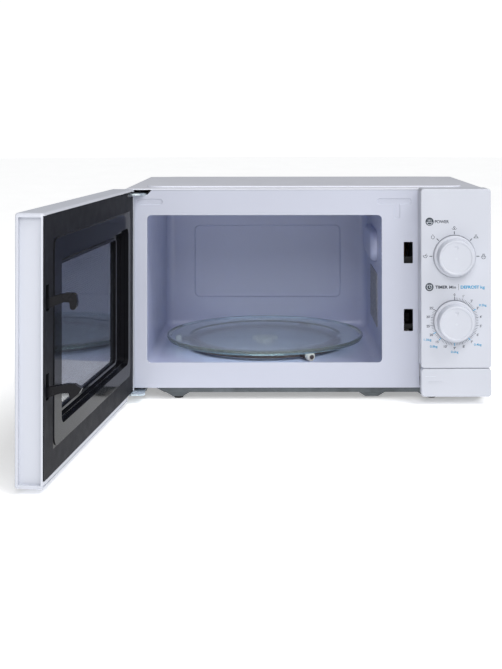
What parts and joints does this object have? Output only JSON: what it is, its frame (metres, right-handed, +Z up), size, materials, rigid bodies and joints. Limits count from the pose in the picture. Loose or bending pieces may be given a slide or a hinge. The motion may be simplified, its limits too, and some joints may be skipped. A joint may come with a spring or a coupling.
{
  "type": "microwave oven",
  "caption": "Compact white two-knob microwave oven with a side-hinged door standing open, glass turntable and push-button door release.",
  "frame": {"origin": "middle of the footprint of the whole object with its door open, on the surface it stands on", "axes": "+Z up, +Y towards the back of the cabinet, +X to the right seen from the front"},
  "size_m": [0.5028, 0.6577, 0.263],
  "materials": {
    "white_steel": "satin white paint",
    "white_enamel": "smooth pale enamel",
    "white_plastic": "fine-textured white",
    "zinc_steel": "zinc plated",
    "grey_steel": "slate grey paint",
    "door_steel": "black paint",
    "bright_steel": "bright",
    "mica": "grey mica sheet",
    "black_plastic": "black moulded",
    "dark_window": "dark tinted acrylic",
    "clear_film": "clear film",
    "tray_glass": "clear toughened glass",
    "lamp_glass": "clear bulb",
    "ivory_plastic": "heat-proof nylon",
    "grey_plastic": "grey moulded",
    "dark_plastic": "black switch bodies",
    "rubber": "matt black rubber",
    "steel_laminations": "varnished laminations",
    "copper_windings": "enamelled copper",
    "aluminium": "plain",
    "board_green": "circuit board",
    "rotor_steel": "machined"
  },
  "bodies": {
    "cabinet": {"outer_cover": "white_steel", "rear_panel": "grey_steel", "base_plate": "grey_steel", "front_frame": "white_steel", "cavity_shell": "white_enamel", "waveguide": "zinc_steel", "waveguide_cover": "mica", "cavity_lamp": "lamp_glass", "lamp_holder": "ivory_plastic", "turntable_motor": "aluminium", "transformer_core": "steel_laminations", "transformer_windings": "copper_windings", "hv_capacitor": "aluminium", "capacitor_strap": "zinc_steel", "hv_diode": "rotor_steel", "magnetron_yoke": "zinc_steel", "magnetron_anode": "copper_windings", "magnetron_fins": "aluminium", "magnetron_filter_box": "zinc_steel", "fan_shroud": "grey_plastic", "fan_motor": "steel_laminations", "fuse_board": "board_green", "thermal_cutout": "zinc_steel", "cord_bushing": "dark_plastic", "control_panel": "white_plastic", "timer_unit": "ivory_plastic", "power_switch": "ivory_plastic", "interlock_bracket": "dark_plastic", "interlock_switches": "dark_plastic", "upper_hinge": "zinc_steel", "lower_hinge": "zinc_steel", "hinge_pins": "bright_steel", "rubber_feet": "rubber", "rear_screws": "bright_steel", "chassis_screws": "bright_steel", "button_spring": "bright_steel"},
    "door": {"door_shell": "white_plastic", "door_window": "dark_window", "door_panel": "door_steel", "door_screen": "door_steel", "door_film": "clear_film", "choke_cover": "black_plastic", "hinge_bushes": "ivory_plastic", "latch_guide": "ivory_plastic", "latch_spring": "bright_steel"},
    "latch": {"door_latch": "black_plastic"},
    "power_knob": {"power_knob": "white_plastic", "power_shaft": "bright_steel"},
    "timer_knob": {"timer_knob": "white_plastic", "timer_shaft": "bright_steel"},
    "release_button": {"release_button": "white_plastic"},
    "latch_lifter": {"latch_lifter": "ivory_plastic"},
    "turntable_drive": {"drive_coupler": "ivory_plastic"},
    "glass_tray": {"glass_tray": "tray_glass"},
    "roller_ring": {"roller_ring": "grey_plastic"},
    "roller_1": {"roller_1": "ivory_plastic"},
    "roller_2": {"roller_2": "ivory_plastic"},
    "roller_3": {"roller_3": "ivory_plastic"},
    "fan": {"fan_rotor": "rotor_steel", "fan_blade": "grey_plastic"}
  },
  "joints": [
    {"name": "door_hinge", "type": "hinge", "parent": "cabinet", "child": "door", "pos_m": [-0.19408, 0.02903, 0.13], "axis": [0, 0, 1], "range_deg": [-9, 96]},
    {"name": "latch_slide", "type": "slide", "parent": "door", "child": "latch", "axis": [0, 0, 1], "range_m": [0, 0.006], "stiffness_N_per_m": 300, "springref_m": -0.004, "deforming": ["latch_spring"]},
    {"name": "power_knob_turn", "type": "hinge", "parent": "cabinet", "child": "power_knob", "pos_m": [0.20672, 0.00903, 0.1808], "axis": [0, 1, 0], "range_deg": [-90, 90]},
    {"name": "timer_knob_turn", "type": "hinge", "parent": "cabinet", "child": "timer_knob", "pos_m": [0.20672, 0.00903, 0.1017], "axis": [0, 1, 0], "range_deg": [0, 300]},
    {"name": "button_push", "type": "slide", "parent": "cabinet", "child": "release_button", "axis": [0, 1, 0], "range_m": [0, 0.004], "stiffness_N_per_m": 600, "springref_m": -0.003, "deforming": ["button_spring"]},
    {"name": "lifter_rise", "type": "slide", "parent": "cabinet", "child": "latch_lifter", "axis": [0, 0, 1], "range_m": [0, 0.006]},
    {"name": "turntable_spin", "type": "hinge", "parent": "cabinet", "child": "turntable_drive", "pos_m": [-0.02598, 0.17503, 0.045], "axis": [0, 0, 1], "continuous": true},
    {"name": "tray_lift", "type": "slide", "parent": "turntable_drive", "child": "glass_tray", "axis": [0, 0, 1], "range_m": [0, 0.06]},
    {"name": "ring_spin", "type": "hinge", "parent": "cabinet", "child": "roller_ring", "pos_m": [-0.02598, 0.17503, 0.0462], "axis": [0, 0, 1], "continuous": true},
    {"name": "fan_spin", "type": "hinge", "parent": "cabinet", "child": "fan", "pos_m": [0.19152, 0.29903, 0.176], "axis": [0, 1, 0], "continuous": true},
    {"name": "roller_1_spin", "type": "hinge", "parent": "roller_ring", "child": "roller_1", "pos_m": [0.03252, 0.07371, 0.0462], "axis": [0.5, -0.866, 0], "continuous": true},
    {"name": "roller_2_spin", "type": "hinge", "parent": "roller_ring", "child": "roller_2", "pos_m": [0.03252, 0.27636, 0.0462], "axis": [0.5, 0.866, 0], "continuous": true},
    {"name": "roller_3_spin", "type": "hinge", "parent": "roller_ring", "child": "roller_3", "pos_m": [-0.14298, 0.17503, 0.0462], "axis": [-1, 0, 0], "continuous": true}
  ],
  "couplings": [
    {"joint": "lifter_rise", "follows": "button_push", "ratio": 1.5},
    {"joint": "ring_spin", "follows": "turntable_spin", "ratio": 0.5},
    {"joint": "roller_1_spin", "follows": "turntable_spin", "ratio": -10.446},
    {"joint": "roller_2_spin", "follows": "turntable_spin", "ratio": -10.446},
    {"joint": "roller_3_spin", "follows": "turntable_spin", "ratio": -10.446}
  ]
}
